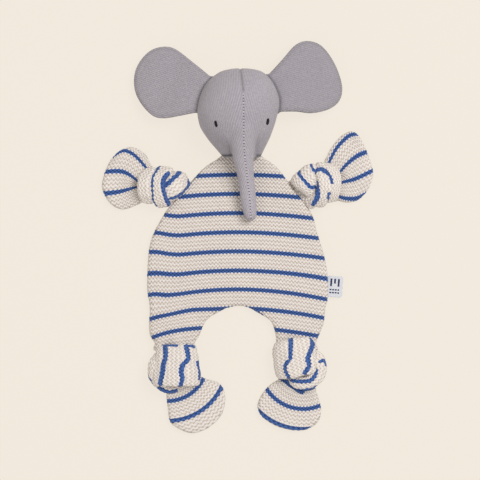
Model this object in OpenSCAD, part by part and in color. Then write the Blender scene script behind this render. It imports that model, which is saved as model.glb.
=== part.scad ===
// Knitted elephant comforter: a flat striped body with four knotted limbs, and a stuffed
// jersey head with a long trunk and two flat ears. It lies on its back: +Z is its front,
// +Y points to the top of its head, and Z = 0 is the surface that it lies on.
// Left and right are those of someone looking down at its face. All sizes in millimetres.

/* [Body] */
// Greatest width of the body
body_w = 153; // [145:1:160]
// Thickness of the body, both layers together
body_t = 8.4; // [7.6:0.2:9.6]
// Y of the seam between body and head
neck_y = 69; // [68:0.5:70]
// Width of the neck
neck_w = 33; // [30:1:36]
// Y of the line where the body folds in two
waist_y = -25; // [-30:1:-20]
// Y of the tops of the leg knots
hip_y = -90; // [-92:1:-88]
// Thickness of a hand or a foot
paw_t = 7; // [6:0.5:8]
// Sideways offset of the body's middle line
body_x = 1; // [0:0.5:2]

/* [Knots] */
// Thickness of an arm knot
arm_knot_t = 21.6; // [19:0.2:24]
// Thickness of a leg knot
leg_knot_t = 23.6; // [21:0.2:26]

/* [Head] */
// Width of the head
head_w = 69; // [66:1:72]
// Front to back depth of the head
head_d = 50; // [46:1:54]
// Y of the crown
crown_y = 143.8; // [142:0.2:146]
// X of the middle of the neck and chin
chin_x = 3.5; // [2:0.5:5]
// Thickness of the jersey with its backing
cover_t = 1.5; // [1.2:0.1:2]
// Height of an eye
eye_h = 5.6; // [4:0.2:7]
// Width of an eye
eye_w = 2.7; // [2:0.1:3.5]

/* [Trunk] */
// Radius of the trunk where it bends
trunk_root_r = 9.4; // [9:0.1:10]
// Radius near the tip
trunk_tip_r = 4.7; // [4.2:0.1:5]

/* [Ears] */
// Thickness of an ear, both layers together
ear_t = 4.4; // [3.6:0.2:5]
// Slope of the ears down to the surface
ear_tilt = 19.5; // [18:0.5:20]

/* [Label] */
// Length of the label outside the seam
label_l = 14; // [10:1:16]
// Width of the label
label_w = 18; // [14:1:20]

/* [Joint limits] */
// Greatest angle of an arm or a leg
limb_fold = 70; // [40:5:75]
// Greatest angle of a hand or a foot
paw_fold = 60; // [30:5:70]
// Greatest angle of the fold across the body
waist_fold = 60; // [30:5:70]
// Greatest angle of the head to the back
head_drop = 70; // [30:5:75]

/* [Hidden] */

knit = "#dad0c8";
jersey = "#a29ca1";
thread = "#8d878c";
wadding = "#f4f2ee";

curve_steps = 3;      // pieces of outline between two of its points
round_fn = 24;        // facets round a hulled ball
gap = 0.35;           // room left on each side of a fold
seam_gap = 0.5;       // space between front and back panels, where the thread runs
thread_in = 1.2;      // distance of the thread from the edge
thread_w = 0.8;
fold_reach = 60;      // how far the clearance of a fold reaches up and down
body_reach = 30;      // the same for the folds in the body, which is thin
fold_deep = 25;       // how far a fold clears the body beyond its line
seam_z = body_t / 2;  // height of the seam and of the folds in the body
paw_z = paw_t / 2;
strand_w = 30;        // width of a limb's flat strand at its folds
strand_t = body_t - 0.8;
cut = 200;            // size of a cube that cuts away half of the model
air = 0.05;           // clearance between the head and what is sewn on it

// Each fold: centre, and the direction in which the moving side points
left_shoulder = [[-48.5, 35.5], 143];
right_shoulder = [[53, 35], 40];
left_wrist = [[-76.6, 45], 164];
right_wrist = [[80.4, 48.6], 15.5];
left_hip = [[-54, hip_y], -90];
right_hip = [[50, hip_y], -90];
left_ankle = [[-43.5, -127.2], -69];
right_ankle = [[52.5, -125.6], -107.8];
waist = [[body_x, waist_y], -90];
neck = [[chin_x, neck_y], 90];

// Right half of the body's outline, from the neck down to the middle of the arch
half_w = body_w / 2;
half_body = [
    [neck_w / 2, neck_y + 2], [26.5, 62.5], [38, 51], [47.5, 39], [58, 25],
    [0.86 * half_w, 9.5], [0.945 * half_w, -6], [0.99 * half_w, -24], [half_w, -42],
    [0.98 * half_w, -62], [0.94 * half_w, -80], [0.91 * half_w, hip_y - 5],
    [36.5, hip_y - 5], [32, -82], [26, -71], [16.5, -63], [6, -58.6]
];
body_points = concat(
    [for (i = [0 : len(half_body) - 1]) [body_x - half_body[i][0], half_body[i][1]]],
    [for (i = [len(half_body) - 1 : -1 : 0]) [body_x + half_body[i][0], half_body[i][1]]]
);

left_hand_points = [
    [-75.5, 62], [-79.5, 71.5], [-89.3, 77], [-103, 71], [-111, 57.5],
    [-114.6, 46], [-112.6, 34.5], [-106, 26], [-98, 22.6], [-89, 25], [-79.5, 31]
];
right_hand_points = [
    [85.2, 32], [93.5, 30], [102, 32.2], [110.5, 40], [114.6, 51], [114.2, 63],
    [109.5, 76], [103.2, 86.6], [96, 89.6], [88, 84.8], [79.8, 74.5], [76.8, 65]
];
left_foot_points = [
    [-59.6, -133.5], [-58.6, -144], [-57, -155.5], [-50.8, -163], [-39.5, -166.6],
    [-26, -163], [-15, -153], [-10.9, -141], [-12, -130.5], [-17.4, -123.8], [-27.2, -121]
];
right_foot_points = [
    [37.9, -121], [26, -128], [19.4, -138.5], [18.6, -147], [24, -154.5], [34.7, -161],
    [47.6, -164], [60.7, -163], [69.3, -156], [71.4, -147.6], [69.7, -139], [67, -130.3]
];

// Ear outlines from the root, X outwards along the ear and Y across it
left_ear = [[-29.9, 121.4], 160.4];
left_ear_points = [
    [0, -16.7], [17, -22], [36, -28.6], [47, -27.5], [56, -20.5], [61.5, -8], [61.5, 5],
    [56, 17.5], [46, 26.5], [34, 31.5], [24, 30], [13, 24], [0, 16.7]
];
right_ear = [[32.6, 122.8], 17.3];
right_ear_points = [
    [0, -16.7], [12, -20.5], [24, -25.4], [39, -26.2], [50, -22], [56, -12], [56.8, 4],
    [54, 20], [48, 31], [38, 36], [28, 33.2], [13.5, 23.8], [0, 16.7]
];
ear_root_z = 24.6;

// Middle of each knot, and the places of the balls that its lump is wrapped round
left_arm_lump = [[-69.5, 49], [-69.5, 33.5], [-52, 43], [-58, 49]];
right_arm_lump = [[73.5, 52.5], [73, 36], [56, 43.5], [64, 52.5]];
left_leg_lump = [[-58, -103], [-45, -103], [-63.5, -114.5], [-43.5, -113], [-58, -118]];
right_leg_lump = [[44, -103], [57, -103], [42.5, -110], [63.5, -111], [58.5, -117]];

head_x = 1;
head_z = head_d / 2;
head_ry = 31.6;
cranium_y = crown_y - head_ry;
chin_z = 13;
chin_r = [20.5, 11.4, 12.4];
ear_slot_r = 4.2;
trunk_bend = [6.4, 76, 29];
// Balls along the trunk below the bend: place and radius
trunk_balls = [
    [trunk_bend, trunk_root_r],
    [[7, 64, 21.6], 7.9],
    [[8.2, 49, 16.9], 7],
    [[9.9, 33, 15.6], 6],
    [[11.3, 14.1 + trunk_tip_r, 14.2], trunk_tip_r]
];

// Points of a closed smooth curve through the given points
function blend4(a, b, c, d, t) =
    0.5 * (2 * b + (c - a) * t + (2 * a - 5 * b + 4 * c - d) * t * t
    + (3 * b - a - 3 * c + d) * t * t * t);
function curve(p) = let (n = len(p)) [
    for (i = [0 : n - 1], s = [0 : curve_steps - 1])
        blend4(p[(i + n - 1) % n], p[i], p[(i + 1) % n], p[(i + 2) % n], s / curve_steps)
];
// The outline p, counter-clockwise, moved inwards by d
function inset(p, d) = let (n = len(p)) [
    for (i = [0 : n - 1])
        let (t = p[(i + 1) % n] - p[(i + n - 1) % n])
        p[i] + d * [-t[1], t[0]] / norm(t)
];
// Ear outline stretched so that it keeps its plan size when it is tilted
function ear_curve(p) = curve([for (q = p) [q[0] / cos(ear_tilt), q[1]]]);

// Space round a fold. outer = true clears what belongs to the fixed side of the fold,
// outer = false what belongs to the moving side
module fold_space(fold, z, half_angle, width, outer, reach = fold_reach, deep = 40) {
    edge = gap + reach * tan(half_angle);
    side = outer ? 1 : -1;
    translate([fold[0][0], fold[0][1], z])
        rotate([0, 0, fold[1]])
            rotate([90, 0, 0])
                linear_extrude(width, center = true)
                    scale([side, 1])
                        polygon([
                            [gap, 0], [edge, reach], [-deep, reach],
                            [-deep, -reach], [edge, -reach]
                        ]);
}

// Upper layers of a padded shape that stands on height z
module front_layers(p, z, t) {
    translate([0, 0, z]) linear_extrude(0.4 * t) polygon(p);
    translate([0, 0, z]) linear_extrude(0.74 * t) polygon(inset(p, 1.6));
    translate([0, 0, z]) linear_extrude(t) polygon(inset(p, 4.2));
}
// Lower layer, with a rounded lower edge
module back_layers(p, z, t) {
    translate([0, 0, z]) linear_extrude(t) polygon(inset(p, 1.4));
    translate([0, 0, z + 0.35 * t]) linear_extrude(0.65 * t) polygon(p);
}
module seam_ring(p, z) {
    translate([0, 0, z - seam_gap / 2])
        linear_extrude(seam_gap)
            difference() {
                polygon(inset(p, thread_in));
                polygon(inset(p, thread_in + thread_w));
            }
}

// Body: the same outline for chest and belly, divided at the waist
module body_folds(upper) {
    shoulder_w = 38;
    hip_w = 60;
    fold_space(waist, seam_z, waist_fold / 2, body_w + 20, !upper, body_reach, upper ? 100 : 130);
    if (upper) {
        for (fold = [left_shoulder, right_shoulder])
            fold_space(fold, seam_z, limb_fold / 2, shoulder_w, false, body_reach, fold_deep);
        fold_space(neck, seam_z, head_drop / 2, neck_w + 20, false, body_reach, fold_deep);
    } else
        for (fold = [left_hip, right_hip])
            fold_space(fold, seam_z, limb_fold / 2, hip_w, false, body_reach, fold_deep);
}
module body_part(upper, layer) {
    p = curve(body_points);
    half_t = (body_t - seam_gap) / 2;
    difference() {
        if (layer == "front") front_layers(p, seam_z + seam_gap / 2, half_t);
        else if (layer == "back") back_layers(p, 0, half_t);
        else seam_ring(p, seam_z);
        body_folds(upper);
    }
}
module chest_front_panel() color(knit) body_part(true, "front");
module chest_back_panel() color(knit) body_part(true, "back");
module chest_seam_thread() color(thread) body_part(true, "thread");
module belly_front_panel() color(knit) body_part(false, "front");
module belly_back_panel() color(knit) body_part(false, "back");
module belly_seam_thread() color(thread) body_part(false, "thread");

module side_label() {
    seam_x = body_x + half_w - 1;
    label_y = -42;
    label_turn = -4;
    label_t = 0.4;
    color("white")
        translate([seam_x, label_y, seam_z])
            rotate([0, 0, label_turn])
                linear_extrude(label_t, center = true)
                    translate([0, -label_w / 2])
                        square([label_l, label_w]);
}

// Hands and feet
module paw(points, fold, layer) {
    p = curve(points);
    half_t = (paw_t - seam_gap) / 2;
    difference() {
        if (layer == "front") front_layers(p, paw_z + seam_gap / 2, half_t);
        else if (layer == "back") back_layers(p, 0, half_t);
        else seam_ring(p, paw_z);
        fold_space(fold, paw_z, paw_fold / 2, 80, true);
    }
}
module left_hand_front_panel() color(knit) paw(left_hand_points, left_wrist, "front");
module left_hand_back_panel() color(knit) paw(left_hand_points, left_wrist, "back");
module left_hand_thread() color(thread) paw(left_hand_points, left_wrist, "thread");
module right_hand_front_panel() color(knit) paw(right_hand_points, right_wrist, "front");
module right_hand_back_panel() color(knit) paw(right_hand_points, right_wrist, "back");
module right_hand_thread() color(thread) paw(right_hand_points, right_wrist, "thread");
module left_foot_front_panel() color(knit) paw(left_foot_points, left_ankle, "front");
module left_foot_back_panel() color(knit) paw(left_foot_points, left_ankle, "back");
module left_foot_thread() color(thread) paw(left_foot_points, left_ankle, "thread");
module right_foot_front_panel() color(knit) paw(right_foot_points, right_ankle, "front");
module right_foot_back_panel() color(knit) paw(right_foot_points, right_ankle, "back");
module right_foot_thread() color(thread) paw(right_foot_points, right_ankle, "thread");

// Ends of a line of length w across a fold, in order round the strand
function fold_line(fold, w) =
    [for (side = [-1, 1]) fold[0] + side * w / 2 * [-sin(fold[1]), cos(fold[1])]];
// A knot: one strand of the limb tied round itself. A rounded lump, and the flat strand
// that runs through it from the fold at its root to the fold at its end
module knot(lump, t, root, end) {
    root_line = fold_line(root, strand_w);
    end_line = fold_line(end, strand_w);
    color(knit)
        difference() {
            union() {
                hull()
                    for (p = lump)
                        translate([p[0], p[1], t / 2])
                            sphere(t / 2, $fn = round_fn);
                linear_extrude(strand_t)
                    polygon([root_line[0], end_line[0], end_line[1], root_line[1]]);
            }
            fold_space(root, seam_z, limb_fold / 2, 90, true);
            fold_space(end, paw_z, paw_fold / 2, 90, false);
        }
}
module left_arm_knot() knot(left_arm_lump, arm_knot_t, left_shoulder, left_wrist);
module right_arm_knot() knot(right_arm_lump, arm_knot_t, right_shoulder, right_wrist);
module left_leg_knot() knot(left_leg_lump, leg_knot_t, left_hip, left_ankle);
module right_leg_knot() knot(right_leg_lump, leg_knot_t, right_hip, right_ankle);

// Head: an egg with its narrow end at the neck. d is how far it is inside the outer skin
module egg(d) {
    hull() {
        translate([head_x, cranium_y, head_z])
            scale([head_w / 2 - d, head_ry - d, head_d / 2 - d])
                sphere(1, $fn = 40);
        translate([chin_x, neck_y + chin_r[1], chin_z])
            scale([chin_r[0] - d, chin_r[1] - d, chin_r[2] - d])
                sphere(1, $fn = 28);
    }
}
module ear_slot(ear, r) {
    translate([ear[0][0], ear[0][1], ear_root_z])
        rotate([0, 0, ear[1]])
            rotate([90, 0, 0])
                cylinder(r = r, h = 46, center = true, $fn = 20);
}
// What is cut out of the head for the ears, the trunk and the fold at the neck
module head_room(extra) {
    ear_slot(left_ear, ear_slot_r + extra);
    ear_slot(right_ear, ear_slot_r + extra);
    trunk_chain(-0.5 - extra, 1);
    difference() {
        fold_space(neck, seam_z, head_drop / 2, 60, true, body_reach, 20);
        translate([-50, 0, seam_z]) cube([100, 100, 60]);
    }
    translate([-50, neck_y - 20, seam_z - 1]) cube([100, 20 + gap, 14]);
}
module head_cover() {
    difference() {
        egg(0);
        egg(cover_t);
        head_room(0);
    }
}
module half_space(low) {
    translate([-cut / 2, 20, low ? -cut : 0]) cube(cut);
}
module head_front_left() {
    color(jersey)
        difference() {
            head_cover();
            translate([0, 0, head_z + 0.1]) half_space(true);
            translate([chin_x - 0.1, 0, 0]) cube(cut);
        }
}
module head_front_right() {
    color(jersey)
        difference() {
            head_cover();
            translate([0, 0, head_z + 0.1]) half_space(true);
            translate([chin_x + 0.1 - cut, 0, 0]) cube(cut);
        }
}
module head_back() {
    color(jersey)
        difference() {
            head_cover();
            translate([0, 0, head_z - 0.1]) half_space(false);
        }
}
module head_filling() {
    color(wadding)
        difference() {
            egg(cover_t + 0.3);
            head_room(1);
        }
}
module crown_seam_thread() {
    color(thread)
        difference() {
            egg(-0.5);
            egg(-air);
            translate([-cut / 2, 20, head_z + 4 - cut]) cube(cut);
            translate([-cut / 2, cranium_y + 4 - cut, 0]) cube(cut);
            translate([chin_x + 0.35, 0, 0]) cube(cut);
            translate([chin_x - 0.35 - cut, 0, 0]) cube(cut);
        }
}
module neck_seam_thread() {
    color(thread)
        difference() {
            egg(-0.5);
            egg(-air);
            translate([-cut / 2, neck_y + 5.4, -1]) cube(cut);
            translate([-cut / 2, neck_y + 4.6 - cut, -1]) cube(cut);
            translate([-cut / 2, 0, 14]) cube(cut);
            head_room(0);
        }
}
// Eyes: satin-stitched ovals standing a little proud of the face
module eye(at) {
    across = 2 * (at[0] - head_x) / head_w;
    along = (at[1] - cranium_y) / head_ry;
    face_z = head_z + head_d / 2 * sqrt(1 - across * across - along * along);
    deep = 4;
    proud = 0.7;
    color("#1c1a1c")
        difference() {
            translate([at[0], at[1], face_z + proud - deep])
                scale([eye_w / 2, eye_h / 2, deep])
                    sphere(1, $fn = 16);
            egg(-air);
        }
}
module left_eye() eye([-17.8, 96]);
module right_eye() eye([25.3, 98]);

// Trunk, with the ball at its root turning in the face. d is how far inside its skin
module trunk_chain(d, lengths = len(trunk_balls) - 1) {
    for (i = [0 : lengths - 1])
        hull()
            for (b = [trunk_balls[i], trunk_balls[i + 1]])
                translate(b[0]) sphere(b[1] - d, $fn = 20);
}
// The tube is open at its root, inside the head
module trunk_mouth() {
    translate([trunk_bend[0] - 15, trunk_bend[1] + 5, 0]) cube([30, 15, 60]);
}
module trunk_cover() {
    color(jersey)
        difference() {
            trunk_chain(0);
            trunk_chain(cover_t);
            trunk_mouth();
        }
}
module trunk_filling() {
    color(wadding)
        difference() {
            trunk_chain(cover_t + 0.3);
            trunk_mouth();
        }
}

// Ears: two layers sewn round the edge, hinged at the root and sloping down outwards
module ear(at, points, layer) {
    p = ear_curve(points);
    layer_gap = 0.4;
    half_t = (ear_t - layer_gap) / 2;
    translate([at[0][0], at[0][1], ear_root_z])
        rotate([0, 0, at[1]])
            rotate([0, ear_tilt, 0])
                difference() {
                    if (layer == "front") {
                        translate([0, 0, layer_gap / 2]) {
                            linear_extrude(half_t * 0.6) polygon(p);
                            linear_extrude(half_t) polygon(inset(p, 1.2));
                        }
                    } else if (layer == "back") {
                        translate([0, 0, -layer_gap / 2 - 0.6 * half_t])
                            linear_extrude(half_t * 0.6) polygon(p);
                        translate([0, 0, -layer_gap / 2 - half_t])
                            linear_extrude(half_t) polygon(inset(p, 1.2));
                    } else
                        linear_extrude(layer_gap, center = true)
                            difference() {
                                polygon(inset(p, 1.6));
                                polygon(inset(p, 2.4));
                            }
                    translate([-20.2, -50, -20]) cube([20, 100, 40]);
                }
}
module left_ear_front() color(jersey) ear(left_ear, left_ear_points, "front");
module left_ear_back() color(jersey) ear(left_ear, left_ear_points, "back");
module left_ear_thread() color(thread) ear(left_ear, left_ear_points, "thread");
module right_ear_front() color(jersey) ear(right_ear, right_ear_points, "front");
module right_ear_back() color(jersey) ear(right_ear, right_ear_points, "back");
module right_ear_thread() color(thread) ear(right_ear, right_ear_points, "thread");

chest_front_panel();
chest_back_panel();
chest_seam_thread();
belly_front_panel();
belly_back_panel();
belly_seam_thread();
side_label();
left_arm_knot();
left_hand_front_panel();
left_hand_back_panel();
left_hand_thread();
right_arm_knot();
right_hand_front_panel();
right_hand_back_panel();
right_hand_thread();
left_leg_knot();
left_foot_front_panel();
left_foot_back_panel();
left_foot_thread();
right_leg_knot();
right_foot_front_panel();
right_foot_back_panel();
right_foot_thread();
head_front_left();
head_front_right();
head_back();
head_filling();
crown_seam_thread();
neck_seam_thread();
left_eye();
right_eye();
trunk_cover();
trunk_filling();
left_ear_front();
left_ear_back();
left_ear_thread();
right_ear_front();
right_ear_back();
right_ear_thread();
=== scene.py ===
"""Looks of the knitted elephant comforter: striped knit body, knotted limbs, jersey head.

Lengths in the shape functions are millimetres in the CAD model's frame; to_object() and
place_points() turn them into the metres that Blender works in.
"""
import math

import bmesh
import bpy
import numpy as np
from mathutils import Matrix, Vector, noise


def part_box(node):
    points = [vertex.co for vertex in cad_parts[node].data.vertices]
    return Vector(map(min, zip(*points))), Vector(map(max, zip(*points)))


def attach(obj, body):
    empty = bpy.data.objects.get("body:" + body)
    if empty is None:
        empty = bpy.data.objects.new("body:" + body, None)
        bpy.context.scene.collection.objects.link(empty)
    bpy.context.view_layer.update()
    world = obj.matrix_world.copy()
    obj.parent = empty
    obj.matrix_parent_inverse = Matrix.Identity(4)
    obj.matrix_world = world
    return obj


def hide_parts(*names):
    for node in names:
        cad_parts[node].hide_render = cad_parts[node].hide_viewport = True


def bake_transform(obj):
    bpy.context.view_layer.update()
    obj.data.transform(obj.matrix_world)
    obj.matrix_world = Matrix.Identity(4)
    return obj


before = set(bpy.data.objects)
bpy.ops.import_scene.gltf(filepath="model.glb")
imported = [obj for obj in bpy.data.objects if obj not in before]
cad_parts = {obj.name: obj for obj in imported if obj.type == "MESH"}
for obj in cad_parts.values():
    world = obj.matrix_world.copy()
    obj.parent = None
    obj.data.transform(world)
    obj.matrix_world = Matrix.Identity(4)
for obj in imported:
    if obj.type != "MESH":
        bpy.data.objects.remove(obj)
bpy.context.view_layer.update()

MM = 0.001
SEED = 7
# Skins stay this far above the surface that the toy lies on
LOWEST = 0.05
# Distance given to points that have no stripe or seam near them
NONE_NEAR = 50.0

# Gauge of the knit: width of a stitch, height of a row of bumps, and the stripe repeat
WALE = 3.06
ROW = 1.63
REPEAT = 10 * ROW
STRIPE = 2 * ROW
# Height of the bumps, how far they bend the ridges, and the mesh step along and across a row
RELIEF = 0.55
ZIGZAG = 0.32
KNIT_STEP = (WALE / 4, ROW / 3)
# Height of a row of the jersey, and length of a stitch of the seam down the face
JERSEY_ROW = 1.3
SEAM_STITCH = 2.5

# Linear colours
CREAM = (0.705, 0.657, 0.613)
# The gap colours are painted shade: the yarn darkened in the hollows between the stitches
CREAM_GAP_PAINTED_SHADE = (0.455, 0.375, 0.318)
BLUE = (0.048, 0.112, 0.320)
BLUE_GAP_PAINTED_SHADE = (0.005, 0.016, 0.085)
GREY = (0.342, 0.320, 0.353)
GREY_LIGHT = (0.376, 0.346, 0.379)
BLACK = (0.010, 0.009, 0.010)
LABEL = (0.590, 0.598, 0.636)
NAVY = (0.020, 0.030, 0.080)
FLOOR = (0.888, 0.823, 0.730)


def node_box(node):
    low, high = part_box(node)
    return np.array(low) / MM, np.array(high) / MM


# ---------------------------------------------------------------- curves and outlines

def blend4(a, b, c, d, t):
    """The point at t from b to c on a smooth curve through the four."""
    return 0.5 * (2 * b + (c - a) * t + (2 * a - 5 * b + 4 * c - d) * t * t
                  + (3 * b - a - 3 * c + d) * t ** 3)


def smooth_curve(points, steps, closed=True):
    """Points of a smooth curve through the given ones, steps to each stretch."""
    p = np.array(points, float)
    if closed:
        p = np.vstack([p[-1:], p, p[:2]])
    else:
        p = np.vstack([p[:1], p, p[-1:]])
    out = [blend4(*p[i:i + 4], s / steps) for i in range(len(p) - 3) for s in range(steps)]
    if not closed:
        out.append(p[-1])
    return np.array(out)


def lengths_along(curve):
    """Length along a curve from its start to each of its points."""
    return np.concatenate([[0], np.cumsum(np.linalg.norm(np.diff(curve, axis=0), axis=1))])


def even_spacing(table, along, count, closed):
    """The table again, as count rows at equal steps of the length along it, and the lengths."""
    want = np.linspace(0, along[-1], count, endpoint=not closed)
    return np.column_stack([np.interp(want, along, column) for column in table.T]), want


def nearest_on(outline, q):
    """Signed distance inside a closed outline, and the nearest point on it, for points q."""
    best = np.full(len(q), np.inf)
    place = np.zeros((len(q), 2))
    inside = np.zeros(len(q), bool)
    for start, end in zip(outline, np.roll(outline, -1, axis=0)):
        side = end - start
        t = np.clip(((q - start) @ side) / (side @ side), 0, 1)
        foot = start + t[:, None] * side
        far = np.linalg.norm(q - foot, axis=1)
        closer = far < best
        best[closer] = far[closer]
        place[closer] = foot[closer]
        crosses = (start[1] > q[:, 1]) != (end[1] > q[:, 1])
        if start[1] != end[1]:
            at = start[0] + (q[:, 1] - start[1]) * side[0] / side[1]
            inside ^= crosses & (q[:, 0] < at)
    return np.where(inside, best, -best), place


def ramp(x, low, high):
    """Rises smoothly from 0 at low to 1 at high."""
    t = np.clip((x - low) / (high - low), 0, 1)
    return t * t * (3 - 2 * t)


def bell(x, width):
    """1 at 0, falling away smoothly on both sides."""
    return np.exp(-(x / width) ** 2)


def waves(p, size, seed):
    """Gentle noise between about -1 and 1 at points p."""
    shift = Vector((seed * 3.1, seed * 7.7, seed * 1.3))
    return np.array([noise.noise(Vector(q) / size + shift) for q in p]) * 1.6


def rotated(x, y, degrees):
    """Coordinates turned anticlockwise about the origin."""
    a = math.radians(degrees)
    return x * math.cos(a) - y * math.sin(a), x * math.sin(a) + y * math.cos(a)


# ---------------------------------------------------------------- knit

def purl(u, v):
    """Height from 0 to 1 of purl knit: u mm along a row, v mm across the rows. Bumps of one
    row stand between those of the next."""
    arch = np.cos(2 * np.pi * u / WALE)
    lattice = arch * np.cos(np.pi * (v / ROW - 0.5))
    ridge = np.cos(np.pi * (v / ROW - ZIGZAG * arch))
    return 0.5 * ((1 + lattice) / 2) ** 0.7 + 0.5 * (1 + ridge) / 2


def store_shade(mesh, shade):
    """A level for each point that the jersey's colour is multiplied by: painted light and shade,
    and the darker lines of seams.
    """
    attribute = mesh.attributes.new("shade", "FLOAT", "POINT")
    attribute.data.foreach_set("value", np.asarray(shade, np.float32))


def dress(mesh, knit, material):
    """Material, smooth shading, and the u, v and distance to a stripe or seam of each point."""
    attribute = mesh.attributes.new("knit", "FLOAT_VECTOR", "POINT")
    attribute.data.foreach_set("vector", np.asarray(knit, np.float32).ravel())
    mesh.polygons.foreach_set("use_smooth", [True] * len(mesh.polygons))
    mesh.materials.clear()
    mesh.materials.append(material)


def to_object(name, verts, faces, knit, material):
    """A mesh object from points in mm."""
    mesh = bpy.data.meshes.new(name)
    mesh.from_pydata((np.asarray(verts) * MM).tolist(), [], [list(map(int, f)) for f in faces])
    mesh.update()
    dress(mesh, knit, material)
    piece = bpy.data.objects.new(name, mesh)
    bpy.context.scene.collection.objects.link(piece)
    return piece


def vertex_normals(verts, quads):
    one_diagonal = verts[quads[:, 2]] - verts[quads[:, 0]]
    other_diagonal = verts[quads[:, 3]] - verts[quads[:, 1]]
    flat = np.cross(one_diagonal, other_diagonal)
    total = np.zeros_like(verts)
    for k in range(4):
        np.add.at(total, quads[:, k], flat)
    length = np.linalg.norm(total, axis=1)
    length[length == 0] = 1
    return total / length[:, None]


def add_relief(verts, faces, knit, amount=RELIEF):
    """Raises the bumps of the knit, and keeps the skin above the surface it lies on."""
    height = amount * (purl(knit[:, 0], knit[:, 1]) - 0.5)
    verts = verts + vertex_normals(verts, faces) * height[:, None]
    verts[:, 2] = np.maximum(verts[:, 2], LOWEST)
    return verts


def grid_quads(index):
    """Quads between neighbours in a grid of the numbers of points."""
    corners = [index[:-1, :-1], index[:-1, 1:], index[1:, 1:], index[1:, :-1]]
    return np.stack(corners, -1).reshape(-1, 4)


def flat_shape(outline, u_range, v_range, step, to_plane):
    """Grid of quads that fills a closed outline, following the rows of the knit.

    to_plane(u, v) gives the place in plan. Returns plan points, quads, u and v, distance
    inside the edge, and which points lie on the edge.
    """
    us = np.arange(u_range[0], u_range[1], step[0])
    vs = np.arange(v_range[0], v_range[1], step[1])
    u, v = (g.ravel() for g in np.meshgrid(us, vs))
    q = np.stack(to_plane(u, v), axis=1)
    depth, foot = nearest_on(outline, q)
    # How far past the edge a point may be, and how far inside it the next points are kept
    past = 0.45 * min(step)
    margin = 0.35 * min(step)
    quads = grid_quads(np.arange(len(u)).reshape(len(vs), len(us)))
    quads = quads[(depth[quads] > -past).all(axis=1)]
    # Points with a full ring of quads round them are inside; the others make the edge
    used = np.bincount(quads.ravel(), minlength=len(u))
    edge = (used > 0) & (used < 4)
    shallow = (used == 4) & (depth < margin)
    inward = q - foot
    inward[depth < 0] *= -1
    size = np.linalg.norm(inward, axis=1)
    size[size == 0] = 1
    q[edge] = foot[edge]
    q[shallow] = foot[shallow] + (inward / size[:, None])[shallow] * margin
    depth = np.where(edge, 0, np.maximum(depth, margin))
    kept = np.flatnonzero(used)
    renumber = np.full(len(u), -1)
    renumber[kept] = np.arange(len(kept))
    return q[kept], renumber[quads], u[kept], v[kept], depth[kept], edge[kept]


def to_repeat(v, first):
    """Distance across the rows to the nearest stripe of the repeat that has one at first."""
    return np.abs(np.mod(v - first + REPEAT / 2, REPEAT) - REPEAT / 2)


def to_marks(points, marks):
    """Distance to the nearest drawn stripe. A mark is a half width and the points of a line;
    the distance is measured as if each stripe had the knit's own width."""
    best = np.full(len(points), NONE_NEAR)
    for half, line in marks:
        curve = smooth_curve(line, 5, closed=False)
        for a, b in zip(curve[:-1], curve[1:]):
            side = b - a
            t = np.clip(((points - a) @ side) / (side @ side), 0, 1)
            far = np.linalg.norm(points - a - t[:, None] * side, axis=1) - half + STRIPE / 2
            best = np.minimum(best, far)
    return best


def two_sheets(plan, quads, knit, edge, top, bottom):
    """Closes a flat shape as a front and a back sheet that share their edge."""
    middle = 0.5 * (top + bottom)
    front = np.column_stack([plan, np.where(edge, middle, top)])
    inner = np.flatnonzero(~edge)
    back = np.column_stack([plan[inner], bottom[inner]])
    renumber = np.arange(len(plan))
    renumber[inner] = len(plan) + np.arange(len(inner))
    faces = np.vstack([quads, renumber[quads][:, ::-1]])
    return np.vstack([front, back]), faces, np.vstack([knit, knit[inner]])


def rolled(depth, radius):
    """Share of the full thickness at a distance inside a rounded edge."""
    t = np.clip(depth / radius, 0, 1)
    return np.sqrt(1 - (1 - t) ** 2)


# ---------------------------------------------------------------- node patterns

class Field:
    """A number in a node tree, so that a pattern reads as arithmetic."""

    def __init__(self, tree, socket):
        self.tree = tree
        self.socket = socket

    def math(self, operation, *others):
        node = self.tree.nodes.new("ShaderNodeMath")
        node.operation = operation
        for slot, value in zip(node.inputs, (self,) + others):
            if isinstance(value, Field):
                self.tree.links.new(value.socket, slot)
            else:
                slot.default_value = value
        return Field(self.tree, node.outputs[0])

    def __add__(self, other):
        return self.math("ADD", other)

    def __sub__(self, other):
        return self.math("SUBTRACT", other)

    def __mul__(self, other):
        return self.math("MULTIPLY", other)

    def __truediv__(self, other):
        return self.math("DIVIDE", other)

    def fract(self):
        return self.math("FRACT")

    def cos(self):
        return self.math("COSINE")

    def abs(self):
        return self.math("ABSOLUTE")

    def clip(self):
        return self.math("MINIMUM", 1.0).math("MAXIMUM", 0.0)

    def below(self, other):
        return self.math("LESS_THAN", other)

    def smooth(self, low, high):
        node = self.tree.nodes.new("ShaderNodeMapRange")
        node.interpolation_type = "SMOOTHSTEP"
        self.tree.links.new(self.socket, node.inputs["Value"])
        node.inputs["From Min"].default_value = low
        node.inputs["From Max"].default_value = high
        return Field(self.tree, node.outputs["Result"])


def new_material(name):
    material = bpy.data.materials.new(name)
    material.use_nodes = True
    tree = material.node_tree
    shader = tree.nodes["Principled BSDF"]
    shader.inputs["Roughness"].default_value = 0.92
    shader.inputs["Specular IOR Level"].default_value = 0.25
    return material, tree, shader


def knit_fields(tree):
    """The three numbers that dress() stores for each point."""
    node = tree.nodes.new("ShaderNodeAttribute")
    node.attribute_name = "knit"
    split = tree.nodes.new("ShaderNodeSeparateXYZ")
    tree.links.new(node.outputs["Vector"], split.inputs[0])
    return [Field(tree, split.outputs[k]) for k in range(3)]


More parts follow.
